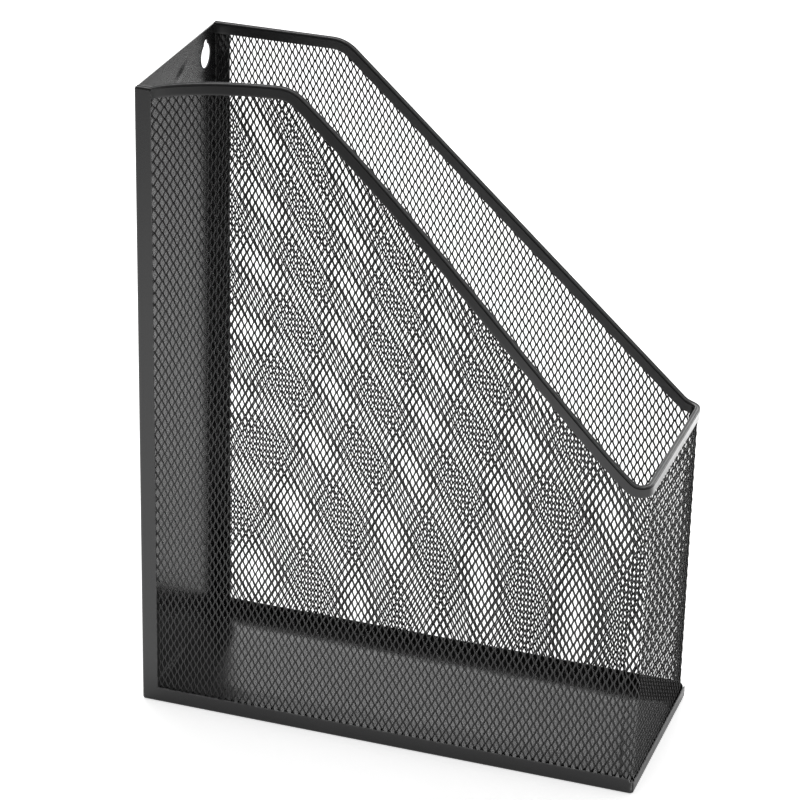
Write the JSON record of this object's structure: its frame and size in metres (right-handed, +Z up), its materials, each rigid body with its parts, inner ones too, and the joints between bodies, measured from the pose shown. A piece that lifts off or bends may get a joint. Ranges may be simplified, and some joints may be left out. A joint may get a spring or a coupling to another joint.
{
  "type": "magazine file holder",
  "caption": "Upright open-top magazine holder: folded sheet back and base, expanded-metal mesh sides and front with sloped tops, a folded steel rim and keyholes for wall hanging.",
  "frame": {"origin": "centre of the footprint, on the surface the holder stands on", "axes": "+Z up, +Y towards the solid back with the keyholes, -Y towards the low open front, X across the width"},
  "size_m": [0.098, 0.25, 0.32],
  "materials": {
    "sheet_steel": "satin black powder coat",
    "mesh_steel": "satin black powder coat",
    "rim_steel": "satin black powder coat"
  },
  "bodies": {
    "root": {"back_panel": "sheet_steel", "base_tray": "sheet_steel", "left_mesh": "mesh_steel", "front_mesh": "mesh_steel", "right_mesh": "mesh_steel", "top_rim": "rim_steel"}
  },
  "joints": []
}
